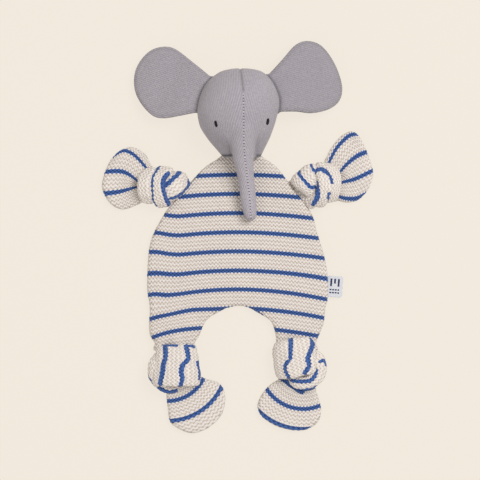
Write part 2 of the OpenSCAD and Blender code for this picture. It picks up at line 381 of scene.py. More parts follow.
def noise_field(tree, size):
    """Noise from 0 to 1 with features of that size in metres."""
    place = tree.nodes.new("ShaderNodeTexCoord")
    node = tree.nodes.new("ShaderNodeTexNoise")
    node.inputs["Scale"].default_value = 1 / size
    node.inputs["Detail"].default_value = 2.0
    tree.links.new(place.outputs["Object"], node.inputs["Vector"])
    return Field(tree, node.outputs["Fac"])


def mix_colours(tree, share, first, second):
    """From the first colour to the second as the share goes from 0 to 1."""
    node = tree.nodes.new("ShaderNodeMix")
    node.data_type = "RGBA"
    tree.links.new(share.socket, node.inputs["Factor"])
    for slot, value in ((node.inputs["A"], first), (node.inputs["B"], second)):
        if isinstance(value, tuple):
            slot.default_value = (*value, 1)
        else:
            tree.links.new(value, slot)
    return node.outputs["Result"]


def tinted(colour, tint):
    """A plain colour times a level."""
    return tuple(tint * c for c in colour)


def shaded(tree, colour, level):
    """A colour in a node tree times a level."""
    node = tree.nodes.new("ShaderNodeVectorMath")
    node.operation = "SCALE"
    tree.links.new(colour, node.inputs[0])
    tree.links.new(level.socket, node.inputs["Scale"])
    return node.outputs[0]


def connect_bump(tree, shader, height, distance):
    """Fine relief: a height field, and how many metres high its 1 is."""
    node = tree.nodes.new("ShaderNodeBump")
    node.inputs["Distance"].default_value = distance
    node.inputs["Strength"].default_value = 1.0
    tree.links.new(height.socket, node.inputs["Height"])
    tree.links.new(node.outputs["Normal"], shader.inputs["Normal"])


def knit_material(name, tint, depth):
    """Purl knit in two colours. depth is how dark the painted shade in the gaps between the
    stitches is.
    """
    material, tree, shader = new_material(name)
    u, v, from_stripe = knit_fields(tree)
    arch = (u * (2 * math.pi / WALE)).cos()
    lattice = arch * ((v / ROW - 0.5) * math.pi).cos()
    yarn = noise_field(tree, 0.0009)
    patch = noise_field(tree, 0.012)
    # The gaps join up in zigzags between the ridges, which are two rows apart
    zigzag = ((v / ROW - arch * ZIGZAG - 1) * math.pi).cos()
    # Painted shade: the colour darkens towards the gap colours in the hollows between the stitches
    gap_painted_shade = (lattice.smooth(0.0, -0.95) * 0.42 + zigzag.smooth(-0.1, 1.0) * 0.62) * depth
    # A stripe's edges follow its stitches: side is 1 at its upper edge and -1 at its lower
    side = ((v - STRIPE / 2 - REPEAT / 4) * (2 * math.pi / REPEAT)).cos().math("SIGN")
    edge = from_stripe + arch * side * 0.30
    blue_share = (edge + (yarn - 0.5) * 0.3).smooth(STRIPE / 2 + 0.40, STRIPE / 2 + 0.06)
    level = ((yarn - 0.5) * 0.10 + 1) * ((patch - 0.5) * 0.08 + 1) * tint
    cream = shaded(tree, mix_colours(tree, gap_painted_shade, CREAM, CREAM_GAP_PAINTED_SHADE), level)
    blue = shaded(tree, mix_colours(tree, gap_painted_shade, BLUE, BLUE_GAP_PAINTED_SHADE), level)
    tree.links.new(mix_colours(tree, blue_share, cream, blue), shader.inputs["Base Color"])
    connect_bump(tree, shader, lattice * 0.5 + (yarn - 0.5) * 0.25, 0.0006)
    shader.inputs["Sheen Weight"].default_value = 0.12
    shader.inputs["Sheen Roughness"].default_value = 0.5
    return material


def jersey_material(name, tint, pitch, contrast):
    """Fine jersey: u is across the wales, which are a pitch apart, and v along them. The third
    number is the distance from the face's middle line, with its row of seam stitches."""
    material, tree, shader = new_material(name)
    u, v, from_middle = knit_fields(tree)
    shade = tree.nodes.new("ShaderNodeAttribute")
    shade.attribute_name = "shade"
    wale = (u / pitch).fract() - 0.5
    stitch = (v / JERSEY_ROW + wale.abs() * 1.2).fract() - 0.5
    rib = (wale * 2 * math.pi).cos() * 0.5 + 0.5
    loop = (stitch * 2 * math.pi).cos() * 0.5 + 0.5
    yarn = noise_field(tree, 0.0007)
    patch = noise_field(tree, 0.02)
    mottle = noise_field(tree, 0.0020)
    near = from_middle.abs().smooth(0.75, 0.35)
    beat = (v * (2 * math.pi / SEAM_STITCH)).cos()
    dot = near * beat.smooth(0.3, 0.9)
    hole = near * beat.smooth(-0.3, -0.9)
    # The wales show most beside the middle of the face and the trunk
    strength = (from_middle.abs().smooth(16, 6) * 0.6 + 0.4) * contrast
    level = ((rib - 0.5) * strength + loop * 0.08 + 0.95) * ((yarn - 0.5) * 0.20 + 1)
    level = level * ((patch - 0.5) * 0.08 + 1) * ((mottle - 0.5) * 0.22 + 1)
    # Painted shade: the seam's holes are darkened, besides their dip in the bump; the stitches
    # between them are lighter
    level = level * (dot * 0.34 + 1) * (hole * -0.62 + 1)
    # The stored level holds the head's and ears' painted light and shade, and their darker seam
    # lines
    level = level * Field(tree, shade.outputs["Fac"])
    colour = mix_colours(tree, mottle, tinted(GREY, tint), tinted(GREY_LIGHT, tint))
    tree.links.new(shaded(tree, colour, level), shader.inputs["Base Color"])
    connect_bump(tree, shader, rib * 0.6 + loop * 0.3 + (yarn - 0.5) * 0.5 - hole * 1.2, 0.00035)
    shader.inputs["Sheen Weight"].default_value = 0.2
    shader.inputs["Sheen Roughness"].default_value = 0.45
    return material


def thread_material():
    """Lustrous black threads laid side by side, with u across them."""
    material, tree, shader = new_material("eye_thread")
    u, _, _ = knit_fields(tree)
    thread_width = 0.42
    strand = ((u / thread_width).fract() - 0.5).abs() * 2
    yarn = noise_field(tree, 0.0004)
    # Painted shade: each thread is darker towards its edges, where it meets the next
    level = (strand * -0.5 + 1.1) * ((yarn - 0.5) * 0.5 + 1)
    colour = mix_colours(tree, yarn, BLACK, tinted(BLACK, 1.3))
    tree.links.new(shaded(tree, colour, level), shader.inputs["Base Color"])
    connect_bump(tree, shader, strand * -1 + yarn * 0.3, 0.00025)
    shader.inputs["Roughness"].default_value = 0.55
    return material


# The knots and paws get lighter copies of the knit, with fainter painted shade in its gaps: painted
# light that evens out the shade on their rounded folds
KNIT = knit_material("striped_purl_knit", 1.0, 1.0)
PAW_KNIT_PAINTED_LIGHT = knit_material("striped_purl_knit_paws_painted_light", 1.025, 0.92)
KNOT_KNIT_PAINTED_LIGHT = knit_material("striped_purl_knit_knots_painted_light", 1.06, 0.75)
JERSEY = jersey_material("grey_jersey", 0.97, 2.25, 0.20)
# The ears' copies of the jersey are painted darker than the head's, the right ear most: painted
# shade that offsets how the key light falls on them
LEFT_EAR_JERSEY_PAINTED_SHADE = jersey_material("left_ear_jersey_painted_shade", 0.935, 1.6, 0.50)
RIGHT_EAR_JERSEY_PAINTED_SHADE = jersey_material("right_ear_jersey_painted_shade", 0.85, 1.6, 0.50)
EYE_THREAD = thread_material()


# ---------------------------------------------------------------- camera, floor and light

def make_camera():
    """Looks straight down through a long lens. The view is as wide as seen, a little above
    the floor."""
    height, level, seen = 2.4, 0.01, 0.408
    data = bpy.data.cameras.new("camera")
    data.sensor_width = 36
    data.lens = data.sensor_width * (height - level) / seen
    camera = bpy.data.objects.new("camera", data)
    camera.location = (0.0022, -0.0022, height)
    bpy.context.scene.collection.objects.link(camera)
    bpy.context.scene.camera = camera


def make_floor():
    mesh = bpy.data.meshes.new("floor")
    half = 6.0
    mesh.from_pydata([(-half, -half, 0), (half, -half, 0), (half, half, 0), (-half, half, 0)],
                     [], [(0, 1, 2, 3)])
    floor = bpy.data.objects.new("floor", mesh)
    floor.location.z = -0.0003
    bpy.context.scene.collection.objects.link(floor)
    material, tree, shader = new_material("floor_paper")
    # Mostly its own even light, as on a backdrop lit from all round, so shadows stay faint
    grain = noise_field(tree, 0.004)
    colour = mix_colours(tree, grain, FLOOR, tinted(FLOOR, 0.995))
    tree.links.new(colour, shader.inputs["Emission Color"])
    shader.inputs["Emission Strength"].default_value = 0.914
    shader.inputs["Base Color"].default_value = (*tinted(FLOOR, 0.07), 1)
    shader.inputs["Specular IOR Level"].default_value = 0.0
    mesh.materials.append(material)


def area_light(name, place, size, power, colour):
    """A square light that shines at the middle of the toy."""
    data = bpy.data.lights.new(name, "AREA")
    data.size = size
    data.energy = power
    data.color = colour
    light = bpy.data.objects.new(name, data)
    light.location = place
    light.rotation_euler = (-Vector(place)).to_track_quat("-Z", "Y").to_euler()
    bpy.context.scene.collection.objects.link(light)


def make_light():
    scene = bpy.context.scene
    scene.view_settings.view_transform = "Standard"
    world = scene.world or bpy.data.worlds.new("world")
    scene.world = world
    world.use_nodes = True
    background = world.node_tree.nodes["Background"]
    background.inputs["Color"].default_value = (1.0, 0.987, 0.97, 1)
    background.inputs["Strength"].default_value = 0.555
    area_light("key", (0.9, 0.7, 1.7), 1.0, 29.5, (0.99, 0.985, 0.985))
    area_light("fill", (-1.2, -1.1, 1.25), 1.6, 11, (1.0, 0.95, 0.90))


make_camera()
make_floor()
make_light()


# ---------------------------------------------------------------- body

# X of the body's middle, and half its width
BODY_X = 1.0
BODY_HALF = 76
BODY_LEFT = [
    (3.5, 73), (-8, 72.4), (-12.6, 70.6), (-16.2, 67.4), (-21.7, 63.8), (-29.3, 58.4),
    (-39.5, 47.5), (-48, 38), (-56, 29), (-62, 20.5), (-66.9, 12), (-71.8, 2.5), (-74.9, -8),
    (-76.3, -20), (-76.9, -34), (-76.8, -46), (-75.1, -56), (-74.7, -64), (-75.3, -74),
    (-74.6, -83), (-70.5, -90), (-69, -97)
]
ARCH = [
    (-37, -97), (-36.5, -90), (-32.8, -84), (-28.6, -74), (-24.6, -68.8), (-16.6, -63.8),
    (-8, -59.8), (1, -58.2), (8.6, -59.4), (16.6, -63.6), (25.9, -69.2), (30.1, -74.4),
    (32.6, -84), (32.8, -90), (32.4, -97)
]
BODY_RIGHT = [
    (66, -97), (67, -90), (70, -82), (73.6, -72), (74.8, -61), (76.9, -52), (77.2, -42),
    (76.6, -30), (74.6, -18.5), (71.4, -7), (67.6, 5), (64.6, 17), (60, 26), (50.6, 38.9),
    (42.2, 49.0), (34.2, 59.0), (28.0, 64.2), (23, 67.4), (19.4, 70.4), (15, 72.4)
]
# The stripe of the back layer that shows along the edge of the arch, between the legs
ARCH_MARK = (0.6, [(11, -60.2), (16, -62.6), (21.5, -66.2)])
SEAM_Z = 4.2
TOP_STRIPE = 53.3
# Where the strands leave the body: X, Y, how far round and how high the cloth bulges
BULGES = [(-50, 36, 14, 4.0), (55, 36, 14, 4.0), (-53, -93, 17, 5.5), (50, -90, 17, 5.0)]
# The gathers there: X, Y, and the direction across them
GATHERS = [(-54, 34, 0.5, 0.85), (58, 33, -0.5, 0.85), (-53, -93, 1, 0.1), (50, -90, 1, -0.1)]
GATHER_SIZE = 2.2


def stripe_droop(x, y):
    """How far a row of the body hangs below its middle at x, in mm."""
    s = (x - BODY_X) / BODY_HALF
    right = (6.3 + 2.6 * ramp(-y, 25, 50)) * np.abs(s) ** 1.8
    settle = 1 - (0.95 - 0.95 * ramp(-y, 5, 75)) * ramp(-s, 0.6, 0.95)
    left = (6.6 + 3 * ramp(-y, 20, 50)) * np.abs(s) ** (2 + 1.6 * ramp(-y, 62, 80)) * settle
    left -= 2.2 * bell(y + 52, 9) * ramp(-s, 0.78, 0.98)
    left -= 1.3 * bell(x + 40, 14) * bell(y + 62, 8)
    return np.where(s > 0, right, left) * (0.8 + 0.2 * ramp(-y, -45, -30)) - 0.4 * ramp(-y, 33, 50)


def body_plane(u, v):
    """The place in plan of row v, which hangs by the droop there."""
    y = v.copy()
    for _ in range(6):
        y = v - stripe_droop(u, y)
    return u, y


def make_body():
    outline = smooth_curve(BODY_LEFT + ARCH + BODY_RIGHT, 6)
    plan, quads, u, v, depth, edge = flat_shape(
        outline, (-79, 80), (-100, 77), KNIT_STEP, body_plane)
    x, y = plan.T
    from_stripe = to_repeat(v, TOP_STRIPE)
    from_stripe[v > TOP_STRIPE + REPEAT / 2] = NONE_NEAR
    from_stripe = np.minimum(from_stripe, to_marks(plan, [ARCH_MARK]))
    knit = np.column_stack([u, v - TOP_STRIPE + STRIPE / 2, from_stripe])
    flat = np.column_stack([x, y, 0 * x])
    low = waves(flat, 38, SEED)
    fine = waves(flat, 12, SEED + 1)
    puff = sum(high * bell(np.hypot(x - px, y - py), wide) for px, py, wide, high in BULGES)
    gathers = sum(0.5 * np.cos(((x - px) * ax + (y - py) * ay) / GATHER_SIZE)
                  * bell(np.hypot(x - px, y - py), 17) for px, py, ax, ay in GATHERS)
    # The seam allowance inside the left edge shows as a ridge with a groove beside it
    left_side = ramp(-x, 20, 40) * ramp(-y, -10, 0)
    ridge = left_side * (0.55 * bell(depth - 4.4, 0.8) - 0.45 * bell(depth - 5.8, 0.8))
    half = 1.5 + 2.3 * rolled(depth, 8) + 0.55 * low + 0.3 * fine
    edge_roll = rolled(depth + 0.15, 2.4)
    top = SEAM_Z + half * edge_roll + ridge + (puff + gathers) * rolled(depth + 0.15, 5)
    bottom = SEAM_Z - np.minimum(half, 3.4) * edge_roll
    verts, faces, knit = two_sheets(plan, quads, knit, edge, top, bottom)
    verts = add_relief(verts, faces, knit)
    piece = to_object("body_cover", verts, faces, knit, KNIT)
    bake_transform(piece)
    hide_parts("chest_front_panel", "chest_back_panel", "chest_seam_thread",
                "belly_front_panel", "belly_back_panel", "belly_seam_thread")


make_body()


# ---------------------------------------------------------------- hands and feet

def between(lines, places, stations, u, v):
    """Plan points at u along and v across a fan of lines. Each line lies at one of the
    places across the fan, and has a point for each station along it."""
    grid = np.array(lines, float)
    i = np.clip(np.searchsorted(stations, u) - 1, 0, len(stations) - 2)
    j = np.clip(np.searchsorted(places, v) - 1, 0, len(places) - 2)
    s = (u - stations[i]) / (stations[i + 1] - stations[i])
    t = (v - places[j]) / (places[j + 1] - places[j])

    def along(row):
        before = grid[row, np.maximum(i - 1, 0)]
        after = grid[row, np.minimum(i + 2, len(stations) - 1)]
        return blend4(before, grid[row, i], grid[row, i + 1], after, s[:, None])

    before = along(np.maximum(j - 1, 0))
    after = along(np.minimum(j + 2, len(places) - 1))
    q = blend4(before, along(j), along(j + 1), after, t[:, None])
    return q[:, 0], q[:, 1]


PAW_Z = 3.7
FAN = np.array([-2.5, -1.5, -0.5, 0.5, 1.5, 2.5]) * REPEAT
HAND_STATIONS = np.array([0, 8, 16, 23, 31, 41, 51.0])
# The fans' lines from the lower edge to the upper, each from inside the knot outwards
LEFT_FAN = [
    [(-72, 35), (-76, 27), (-81, 20), (-87, 13), (-94, 7), (-104, 1), (-113, -3)],
    [(-73, 41), (-80, 36), (-86, 31), (-92, 26.5), (-99, 22.5), (-109, 18), (-118, 14)],
    [(-74, 44), (-82, 43.6), (-88, 42.3), (-94, 40.6), (-101, 38.8), (-113, 37.3), (-122, 36)],
    [(-74, 44.4), (-82, 46), (-88, 50.4), (-93.2, 54.1), (-100, 56.3), (-111, 56), (-120, 54)],
    [(-72, 51), (-77, 58.4), (-83.5, 66), (-89.3, 71.2), (-96.5, 73.9), (-103.5, 70.5), (-111, 64)],
    [(-66, 57), (-71, 64), (-76, 71.5), (-82, 78), (-90, 83), (-99, 86), (-108, 84)]
]
RIGHT_FAN = [
    [(80, 35), (84, 24), (90, 19), (97, 17), (104, 17.5), (112, 21), (120, 27)],
    [(80, 41), (86, 35.3), (90.5, 33.6), (95.5, 33), (101.6, 33.4), (108.5, 36.6), (116, 41)],
    [(80, 46), (86.5, 46.4), (92, 47.6), (97.8, 49), (104, 51.4), (114.6, 56.6), (123, 61)],
    [(80, 50), (86.6, 55), (91.3, 60.4), (97.2, 65.9), (103.2, 70), (110.2, 72.8), (119, 75)],
    [(75, 57), (79.4, 67), (84, 75.4), (89.5, 81.8), (95.5, 86.8), (101.8, 88), (110, 87)],
    [(67, 62), (71, 74), (76, 83), (82, 91), (89, 97), (97, 100), (106, 100)]
]


def make_hand(side, points, fan, wrist, direction, pinch, lowest):
    """A hand fans out from the knot, with its stripes running out along it. It has none
    below the place lowest across the fan."""
    plan, quads, u, v, depth, edge = flat_shape(
        smooth_curve(points, 8), (0, HAND_STATIONS[-1]), (-2.4 * REPEAT, 2.4 * REPEAT), KNIT_STEP,
        lambda u, v: between(fan, FAN, HAND_STATIONS, u, v))
    if side == "left":
        quads = quads[:, ::-1]
    from_stripe = to_repeat(v, REPEAT / 2)
    from_stripe[v < lowest] = NONE_NEAR
    knit = np.column_stack([u, v - REPEAT / 2 + STRIPE / 2, from_stripe])
    out, wide = turned(plan[:, 0], plan[:, 1], wrist, direction)
    low = waves(np.column_stack([plan, 0 * u]), 15, SEED + 3)
    pleats = 0.9 * np.cos(v / 2.6 + 0.8)
    crease = -3.0 * bell(np.hypot((plan[:, 0] - pinch[0]) / 2.6, plan[:, 1] - pinch[1]), 2.4)
    rise = crease + 4.6 * near_knot(out, 11) * bell(wide, 19)
    finish_paw(f"{side}_hand", plan, quads, knit, depth, edge, low,
               pleats * near_knot(out, 8), rise)


def near_knot(out, reach):
    """Fades from 1 at the knot to 0 towards the tip of a hand or foot."""
    return np.exp(-np.maximum(out, 0) / reach)


def finish_paw(name, plan, quads, knit, depth, edge, low, pleats, rise):
    """Closes a hand or foot. Its top has pleats and rises towards the knot."""
    half = 2.8 + 0.4 * low
    top = PAW_Z + (half + rise + pleats * rolled(depth, 8)) * rolled(depth + 0.15, 4.5)
    bottom = PAW_Z - half * rolled(depth + 0.15, 3.2)
    verts, faces, knit = two_sheets(plan, quads, knit, edge, top, bottom)
    verts = add_relief(verts, faces, knit)
    piece = to_object(name, verts, faces, knit, PAW_KNIT_PAINTED_LIGHT)
    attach(piece, name)
    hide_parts(f"{name}_front_panel", f"{name}_back_panel", f"{name}_thread")


def turned(x, y, centre, degrees):
    """Coordinates along and across a direction, from a centre."""
    return rotated(x - centre[0], y - centre[1], -degrees)


make_hand("left", [(-72, 57), (-75.3, 65.4), (-79.4, 71.8), (-89.5, 76.8), (-98, 75),
                   (-105.8, 68.8), (-111.8, 58.6), (-115.4, 46), (-114.2, 38.2), (-109.2, 29.8),
                   (-103.3, 25.3), (-96.8, 23.9), (-88.6, 26.4), (-79, 31), (-73, 36)],
          LEFT_FAN, (-79, 45), 176, (-83.5, 44.9), -REPEAT)
make_hand("right", [(80, 33), (86, 31.2), (93.5, 29.6), (102, 31.6), (109.4, 38), (113.8, 46.6),
                    (115.6, 55), (113.8, 63.8), (110, 74), (105.2, 84), (101.4, 88.6), (96, 90.4),
                    (88, 86), (80.6, 77), (76.4, 69.6), (74, 60)],
          RIGHT_FAN, (82, 50), 22, (85.5, 50.5), -2 * REPEAT)


# The stripe that runs over the right ankle from the strand to the foot
RIGHT_FOOT_TOP = (1.7, [(34, -118.2), (39.4, -121.2), (45.6, -125.4), (51.6, -130), (55, -131.6)])


def make_foot(side, points, centre, radii, ankle, direction, marks=()):
    """A foot's stripes are arcs of those radii round the knot that it hangs from; marks are
    drawn ones."""
    middle = radii[1]

    def plane(u, v):
        angle = u / middle
        return centre[0] + v * np.cos(angle), centre[1] + v * np.sin(angle)

    start = math.radians(-190) * middle
    stop = math.radians(10) * middle
    plan, quads, u, v, depth, edge = flat_shape(
        smooth_curve(points, 8), (start, stop), (5, 75), KNIT_STEP, plane)
    from_stripe = np.abs(v[:, None] - np.array(radii)).min(axis=1)
    from_stripe = np.minimum(from_stripe, to_marks(plan, marks))
    knit = np.column_stack([u, v - middle + STRIPE / 2, from_stripe])
    out, wide = turned(plan[:, 0], plan[:, 1], ankle, direction)
    low = waves(np.column_stack([plan, 0 * u]), 15, SEED + 5)
    pleats = 0.9 * np.cos(wide / 2.7 + 0.4)
    rise = 4.8 * near_knot(out, 11) * bell(wide, 19)
    finish_paw(f"{side}_foot", plan, quads[:, ::-1], knit, depth, edge, low,
               pleats * near_knot(out, 8), rise)


make_foot("left", [(-62, -124), (-61, -130), (-60.4, -137), (-59.2, -147), (-57.6, -156.5),
                   (-52, -162), (-40, -166.8), (-27, -163.5), (-15.6, -154), (-10.6, -142),
                   (-11.6, -130), (-17, -123.4), (-27, -120.4), (-38, -116), (-50, -116)],
          (-59.5, -105.2), [17.0, 34.0, 51.0], (-43.5, -125.2), -69)
make_foot("right", [(52, -114), (37.5, -120), (28, -125.4), (20.6, -134), (17.2, -143),
                    (20, -151.6), (27, -157.6), (35.5, -161.8), (48, -164.4), (60, -163.2),
                    (68.6, -157), (71.4, -147.6), (69.4, -138), (67.4, -131), (63, -120)],
          (56.1, -108.8), [20.2, 37.2, 54.4], (52.5, -123.6), -107.8,
          [RIGHT_FOOT_TOP])


# ---------------------------------------------------------------- knots

def along_path(path, step, closed):
    """Frames at steps along a path of places with half width and half thickness: middles,
    forward directions, half widths and half thicknesses, and the path's length."""
    rough = smooth_curve(path, 10, closed)
    track = np.vstack([rough, rough[:1]]) if closed else rough
    along = lengths_along(track[:, :3])
    table, _ = even_spacing(track, along, int(along[-1] / step), closed)
    middle = table[:, :3]
    if closed:
        forward = np.roll(middle, -1, axis=0) - np.roll(middle, 1, axis=0)
    else:
        forward = np.gradient(middle, axis=0)
    forward /= np.linalg.norm(forward, axis=1)[:, None]
    return middle, forward, table[:, 3], table[:, 4], along[-1]


def facing_out(middle, forward, core, closed):
    """Directions square to the path that look away from the core and turn smoothly."""
    out = middle - np.array(core, float)
    for _ in range(8):
        out = square_to(out, forward)
        if closed:
            out = out + np.roll(out, 1, axis=0) + np.roll(out, -1, axis=0)
        else:
            out[1:-1] = out[1:-1] + out[2:] + out[:-2]
    return square_to(out, forward)


def square_to(out, forward):
    """The parts of directions that are square to the path, made 1 long."""
    out = out - forward * (out * forward).sum(1)[:, None]
    return out / np.linalg.norm(out, axis=1)[:, None]


def flat_section(half_wide, half_thick, step, shape):
    """A superellipse of that exponent with even steps round it, in units of its halves, and
    the length round it from its outer middle."""
    columns = int((2.4 * half_wide + 2.0 * half_thick) * 2 / step / 1.25)
    angle = np.linspace(0, 2 * math.pi, columns, endpoint=False) - math.pi / 2
    c, s = (np.sign(wave) * np.abs(wave) ** (2 / shape) for wave in (np.cos(angle), np.sin(angle)))
    section = np.column_stack([c * half_wide, s * half_thick])
    ring = np.vstack([section, section[:1]])
    around = lengths_along(ring)
    section, at = even_spacing(ring, around, columns, True)
    return section / np.array([half_wide, half_thick]), at - around[-1] / 2


def end_taper(count):
    """A factor along an open lobe that rounds off its two ends."""
    t = np.linspace(0, 1, count)
    from_end = np.minimum(t, 1 - t) / 0.10
    return np.sqrt(np.clip(1 - (1 - np.clip(from_end, 0, 1)) ** 2, 0.0025, 1))


def ring_faces(rings, columns, closed):
    """Quads between each ring of points and the next, and from the last to the first if
    closed."""
    index = np.arange(rings * columns).reshape(rings, columns)
    index = np.column_stack([index, index[:, 0]])
    if closed:
        index = np.vstack([index, index[:1]])
    return grid_quads(index)


def lobe(name, body, path, core, rows_along, marks=(), repeat_at=0.0, closed=False, shape=2.4,
         flare=0.0):
    """A fold of the tied strand: a flattened tube along a path.

    path: places with half width and half thickness. core: the place that the flat outer
    face looks away from. rows_along: whether the rows of the knit run along the path. marks:
    stripes drawn on the upper side, seen from the front; the lower side has stripes at the
    knit's own repeat, the first at repeat_at. flare: how much wider it gets per mm below core.
    """
    step_along, step_round = KNIT_STEP if rows_along else KNIT_STEP[::-1]
    middle, forward, half_w, half_t, length = along_path(path, step_along, closed)
    out = facing_out(middle, forward, core, closed)
    sideways = np.cross(forward, out)
    section, across = flat_section(half_w.max(), half_t.max(), step_round, shape)
    if not closed:
        taper = end_taper(len(middle))
        half_w = half_w * taper
        half_t = half_t * taper
    verts = (middle[:, None, :]
             + sideways[:, None, :] * (section[:, 0][None, :] * half_w[:, None])[..., None]
             + out[:, None, :] * (section[:, 1][None, :] * half_t[:, None])[..., None])
    verts = verts.reshape(-1, 3)
    faces = ring_faces(len(middle), len(section), closed)
    run, across = (g.ravel() for g in np.meshgrid(np.linspace(0, length, len(middle)), across,
                                                  indexing="ij"))
    u, v = (run, across) if rows_along else (across, run)
    if flare:
        verts[:, 0] = core[0] + (verts[:, 0] - core[0]) * (1 + flare * (core[1] - verts[:, 1]))
    upper = verts[:, 2] > core[2] - 3
    from_stripe = np.where(upper, to_marks(verts[:, :2], marks), to_repeat(v, repeat_at))
    knit = np.column_stack([u, v - repeat_at + STRIPE / 2, from_stripe])
    verts = verts + 0.45 * np.column_stack([waves(verts, 7, SEED + 11 + k) for k in range(3)])
    pleats = 0.16 * np.cos(across / 1.9)
    verts = verts + vertex_normals(verts, faces) * pleats[:, None]
    verts = add_relief(verts, faces, knit, 0.65 * RELIEF)
    piece = to_object(name, verts, faces, knit, KNOT_KNIT_PAINTED_LIGHT)
    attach(piece, body)
    return piece


def left_arm():
    body = "left_arm"
    strand = lobe("left_arm_strand", body,
                  [(-47, 36, 4.4, 15, 3.4), (-56, 40, 4.6, 13, 3.6), (-70, 43, 4.6, 11, 3.6),
                   (-84, 45, 4.2, 11, 3.2), (-90, 46, 3.8, 13, 2.8)], (-66, 42, -60), True)
    lobe("left_arm_outer_wrap", body,
         [(-73.6, 55.2, 9.8, 5.8, 4.4), (-77.2, 50.8, 14.6, 6.2, 4.5),
          (-78.9, 44.4, 16.4, 6.4, 4.5), (-78.0, 37.8, 14.6, 6.2, 4.5),
          (-75.2, 33.0, 9.6, 6.6, 4.4), (-76.2, 38, 5.4, 6, 4.4), (-77.5, 44, 5.0, 6, 4.4),
          (-75.3, 50, 5.4, 6, 4.4)], (-76.6, 44, 10), True,
         repeat_at=9, closed=True)
    lobe("left_arm_inner_wrap", body,
         [(-61.4, 56.0, 10.2, 7.6, 4.8), (-66.3, 50.6, 15.6, 6.8, 4.8),
          (-67.7, 43.5, 17.4, 6.9, 4.8), (-66.4, 35.3, 15.2, 7.0, 4.8),
          (-63.6, 29.9, 9.8, 7.4, 4.8), (-65, 36, 5.4, 6.6, 4.8), (-66.5, 43, 5.0, 6.4, 4.8),
          (-64.5, 50, 5.4, 6.2, 4.8)], (-65.5, 42.8, 10.2), True,
         marks=[(1.0, [(-66.6, 60), (-69.4, 56.0), (-71.4, 51.9), (-72.3, 47), (-72.4, 43)]),
                (0.5, [(-72.4, 43), (-71.6, 37.0), (-71.2, 32.0), (-69.0, 26.0)]),
                (1.75, [(-59.4, 53.7), (-61.7, 50.3), (-62.6, 46), (-62.2, 39), (-61.0, 34),
                        (-59, 29.7), (-57, 25.2)])],
         repeat_at=9, closed=True)
    lobe("left_arm_side_lobe", body,
         [(-68, 35, 7.5, 10, 6.5), (-61, 39.4, 10.6, 10.4, 7.4), (-54.5, 43.5, 11.4, 10.4, 7.8),
          (-50.2, 47.0, 9.6, 9.7, 7.4), (-46.8, 47.6, 6.4, 8.4, 6.2), (-47, 47.2, 3.4, 7, 3.2)],
         (-58, 41, -6), True,
         marks=[(1.3, [(-56.3, 60), (-56.0, 55.6)]),
                (1.75, [(-49.2, 55.6), (-52.4, 52.0), (-56.3, 48.1), (-60.6, 44.4)]),
                (0.95, [(-41.2, 49.5), (-41.4, 44.4), (-44.9, 39.4), (-49.2, 36.0), (-53.6, 33.8),
                        (-59, 32.3)])],
         repeat_at=5)
    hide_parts("left_arm_knot")


# The stripe that the two wraps of the right arm's knot share
RIGHT_ARCH = [(1.5, [(63.6, 56.6), (65.4, 55.2), (67.6, 57.0), (71.4, 57.7), (74.8, 56.0)]),
              (1.2, [(74.8, 56.0), (77.4, 53.9), (79.2, 50.6), (80.1, 46.8)])]


def right_arm():
    body = "right_arm"
    strand = lobe("right_arm_strand", body,
                  [(50, 34, 4.4, 15, 3.4), (60, 41, 4.6, 13, 3.6), (73, 46, 4.6, 11, 3.6),
                   (86, 50, 4.2, 12, 3.2), (92, 52, 3.8, 14, 2.8)], (70, 45, -60), True)
    lobe("right_arm_outer_wrap", body,
         [(73.6, 59.4, 8.2, 8.0, 4.6), (79.8, 55.8, 12.8, 6.6, 4.6), (82.4, 47.4, 15.4, 5.9, 4.6),
          (81.0, 39.4, 14.2, 5.9, 4.6), (79.4, 34.2, 9.6, 6.2, 4.5), (79.6, 40, 5.4, 6, 4.4),
          (80.6, 47, 5.0, 6, 4.4), (77.4, 55, 5.4, 6, 4.4)], (79, 47, 10), True,
         marks=RIGHT_ARCH, repeat_at=9, closed=True)
    lobe("right_arm_side_lobe", body,
         [(57.5, 51.9, 4.6, 10.9, 4), (55.8, 53.5, 8.6, 12.5, 5.2), (58.9, 50.7, 12.0, 12.9, 5.8),
          (63.6, 45.4, 12.6, 11.4, 5.8), (68, 40, 10, 9, 5)], (63, 45.5, 4), True,
         marks=[(1.25, [(51.6, 57), (52.9, 52.6), (55.2, 49.4), (58.4, 46.2), (61.0, 43.4),
                        (63.4, 42.0), (66, 42.4)]),
                (0.9, [(62.0, 62), (62.8, 59.6), (64.2, 57.4), (66, 56)])],
         repeat_at=3)
    lobe("right_arm_low_fold", body,
         [(61.2, 27, 4.4, 4.6, 3.6), (62.8, 30.6, 8.6, 5.4, 4.6), (65.6, 35.6, 11.2, 5.4, 4.8),
          (69, 42, 11, 5, 4.6)], (70, 34, 2), True, repeat_at=5)
    lobe("right_arm_front_wrap", body,
         [(71.6, 54.6, 12.6, 7.0, 5.0), (73.4, 50.4, 17.0, 6.9, 4.8), (74.0, 43.2, 18.0, 6.8, 4.8),
          (72.2, 36, 15.8, 6.9, 4.8), (67.8, 30.2, 10, 7.6, 4.8), (73, 37, 5.4, 6.4, 4.8),
          (74, 44, 5.0, 6.4, 4.8), (73.5, 50, 5.6, 6.4, 4.8)], (73, 42.6, 10.6), True,
         marks=RIGHT_ARCH + [
                (1.8, [(66.8, 45.6), (67.9, 40), (68.0, 35.5), (66.0, 30.5), (62.0, 25)]),
                (1.0, [(77.5, 37.6), (76.8, 33.6), (78.2, 31.2), (76.7, 27.8)])],
         repeat_at=9, closed=True)
    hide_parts("right_arm_knot")


